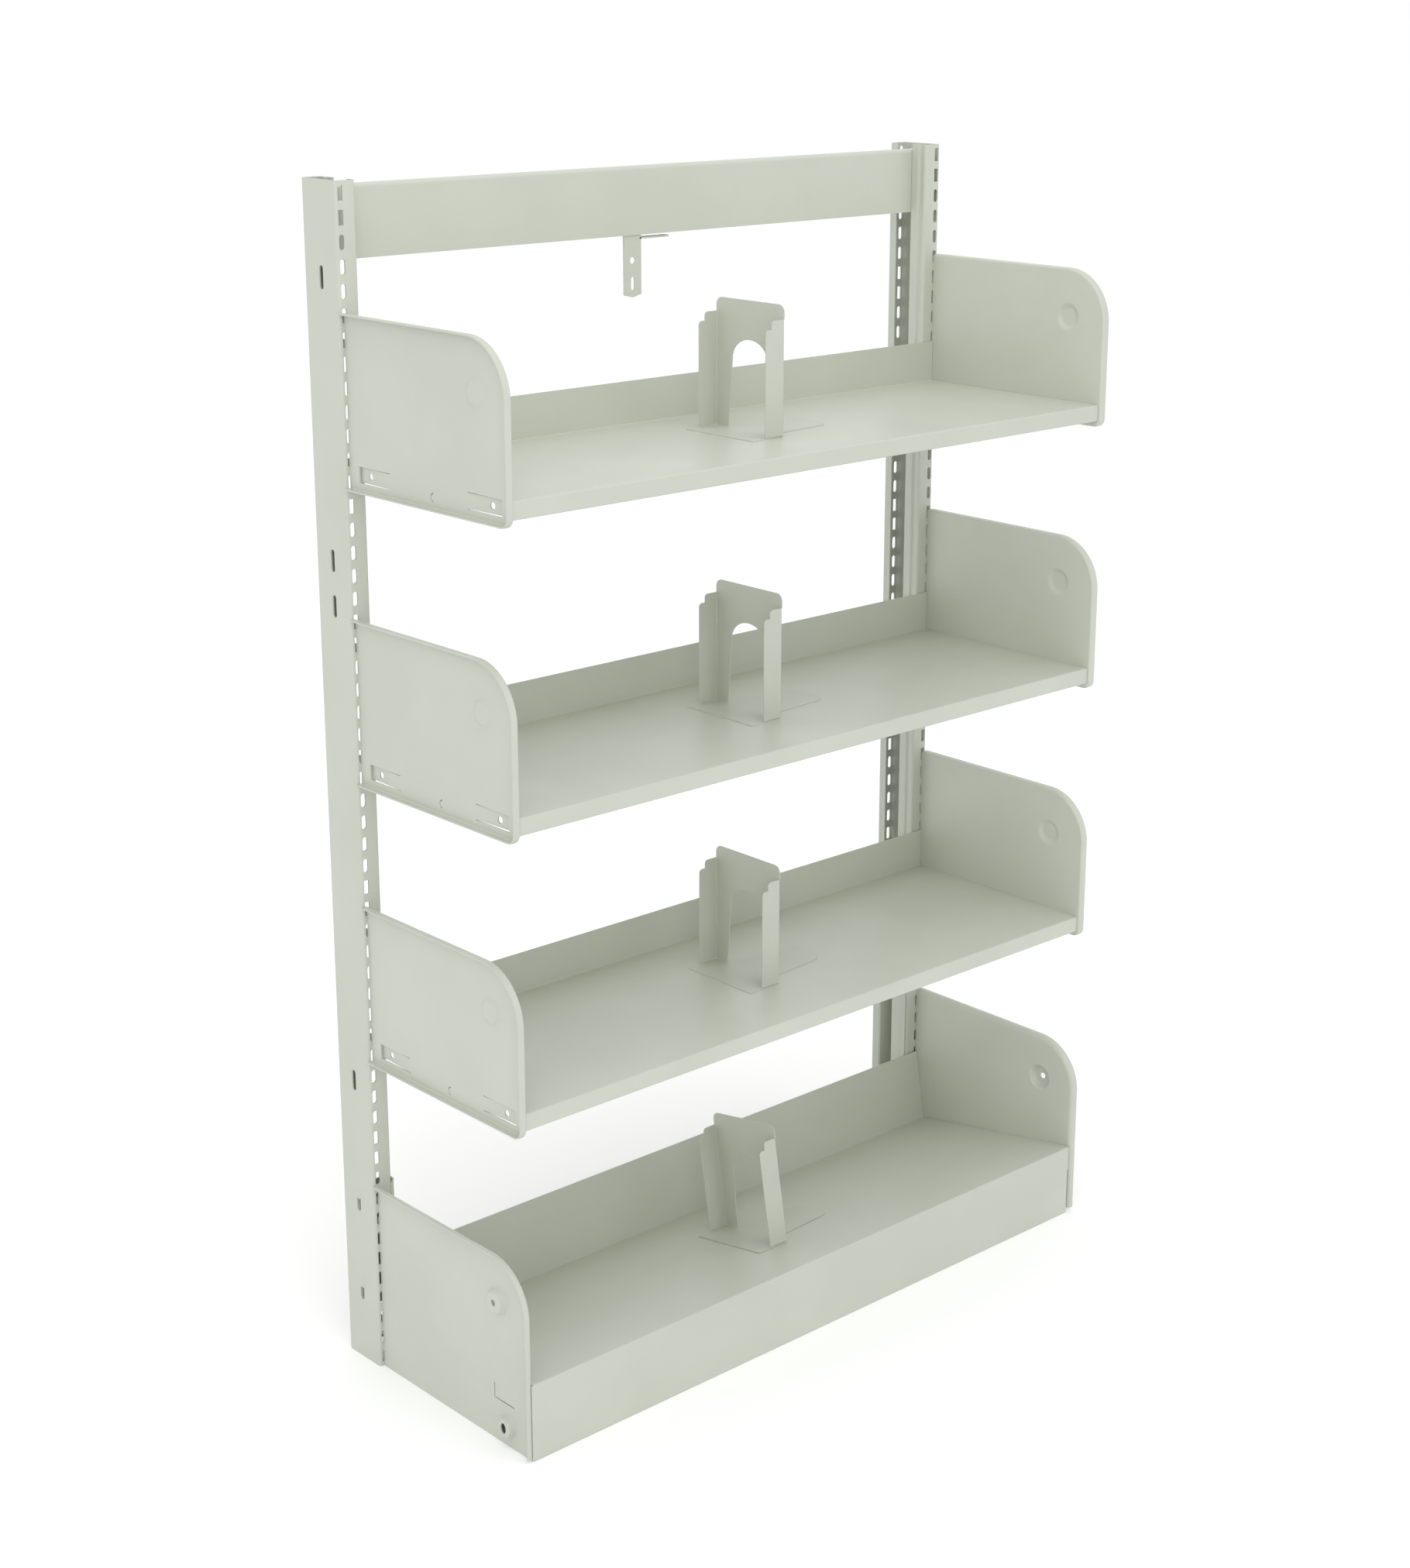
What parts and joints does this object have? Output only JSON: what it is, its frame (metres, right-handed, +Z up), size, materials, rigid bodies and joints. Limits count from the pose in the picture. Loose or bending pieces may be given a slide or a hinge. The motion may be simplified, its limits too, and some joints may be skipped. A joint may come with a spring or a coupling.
{
  "type": "library shelving bay",
  "caption": "Free-standing steel library shelving bay: slotted posts, a top beam, cantilevered shelves on hooked end plates, a tilted base shelf and sliding book supports.",
  "frame": {"origin": "on the floor, at the middle of the bay's width and of its whole depth", "axes": "+X along the shelves to the right, -Y to the front where the shelves reach out, +Z up"},
  "size_m": [0.9186, 0.3446, 1.3716],
  "materials": {
    "frame_paint": "satin pale grey-green powder coat",
    "end_plate_paint": "satin pale grey-green powder coat",
    "shelf_paint": "satin pale grey-green powder coat",
    "support_paint": "satin pale grey-green powder coat",
    "bolt_paint": "powder coat over a domed bolt head",
    "zinc_plate": "dull zinc plate"
  },
  "bodies": {
    "frame": {"upright_left": "frame_paint", "upright_right": "frame_paint", "base_stiffener_left": "frame_paint", "base_stiffener_right": "frame_paint", "foot_plate_left": "zinc_plate", "foot_plate_right": "zinc_plate", "top_beam": "frame_paint", "beam_hanger": "frame_paint", "base_bracket_left": "end_plate_paint", "base_bracket_right": "end_plate_paint", "base_bolts": "bolt_paint", "base_nuts": "zinc_plate"},
    "foot_left": {"levelling_foot_left": "zinc_plate"},
    "foot_right": {"levelling_foot_right": "zinc_plate"},
    "brackets_1": {"shelf_bracket_left_1": "end_plate_paint", "shelf_bracket_right_1": "end_plate_paint"},
    "brackets_2": {"shelf_bracket_left_2": "end_plate_paint", "shelf_bracket_right_2": "end_plate_paint"},
    "brackets_3": {"shelf_bracket_left_3": "end_plate_paint", "shelf_bracket_right_3": "end_plate_paint"},
    "pan_1": {"shelf_1": "shelf_paint"},
    "pan_2": {"shelf_2": "shelf_paint"},
    "pan_3": {"shelf_3": "shelf_paint"},
    "base_pan": {"base_shelf": "shelf_paint"},
    "support_1": {"book_support_1": "support_paint"},
    "support_2": {"book_support_2": "support_paint"},
    "support_3": {"book_support_3": "support_paint"},
    "support_4": {"book_support_4": "support_paint"}
  },
  "joints": [
    {"name": "foot_left_screw", "type": "slide", "parent": "frame", "child": "foot_left", "axis": [0, 0, 1], "range_m": [0, 0.01]},
    {"name": "foot_right_screw", "type": "slide", "parent": "frame", "child": "foot_right", "axis": [0, 0, 1], "range_m": [0, 0.01]},
    {"name": "brackets_1_unhook", "type": "slide", "parent": "frame", "child": "brackets_1", "axis": [0, 0, 1], "range_m": [0, 0.006]},
    {"name": "shelf_1_lift_off", "type": "slide", "parent": "brackets_1", "child": "pan_1", "axis": [0, 0, 1], "range_m": [0, 0.06]},
    {"name": "brackets_2_unhook", "type": "slide", "parent": "frame", "child": "brackets_2", "axis": [0, 0, 1], "range_m": [0, 0.006]},
    {"name": "shelf_2_lift_off", "type": "slide", "parent": "brackets_2", "child": "pan_2", "axis": [0, 0, 1], "range_m": [0, 0.06]},
    {"name": "brackets_3_unhook", "type": "slide", "parent": "frame", "child": "brackets_3", "axis": [0, 0, 1], "range_m": [0, 0.006]},
    {"name": "shelf_3_lift_off", "type": "slide", "parent": "brackets_3", "child": "pan_3", "axis": [0, 0, 1], "range_m": [0, 0.06]},
    {"name": "base_shelf_lift_off", "type": "slide", "parent": "frame", "child": "base_pan", "axis": [0, 0, 1], "range_m": [0, 0.06]},
    {"name": "book_support_1_slide", "type": "slide", "parent": "pan_1", "child": "support_1", "axis": [1, 0, 0], "range_m": [-0.408, 0.337]},
    {"name": "book_support_2_slide", "type": "slide", "parent": "pan_2", "child": "support_2", "axis": [1, 0, 0], "range_m": [-0.408, 0.337]},
    {"name": "book_support_3_slide", "type": "slide", "parent": "pan_3", "child": "support_3", "axis": [1, 0, 0], "range_m": [-0.408, 0.337]},
    {"name": "book_support_4_slide", "type": "slide", "parent": "base_pan", "child": "support_4", "axis": [1, 0, 0], "range_m": [-0.408, 0.337]}
  ]
}
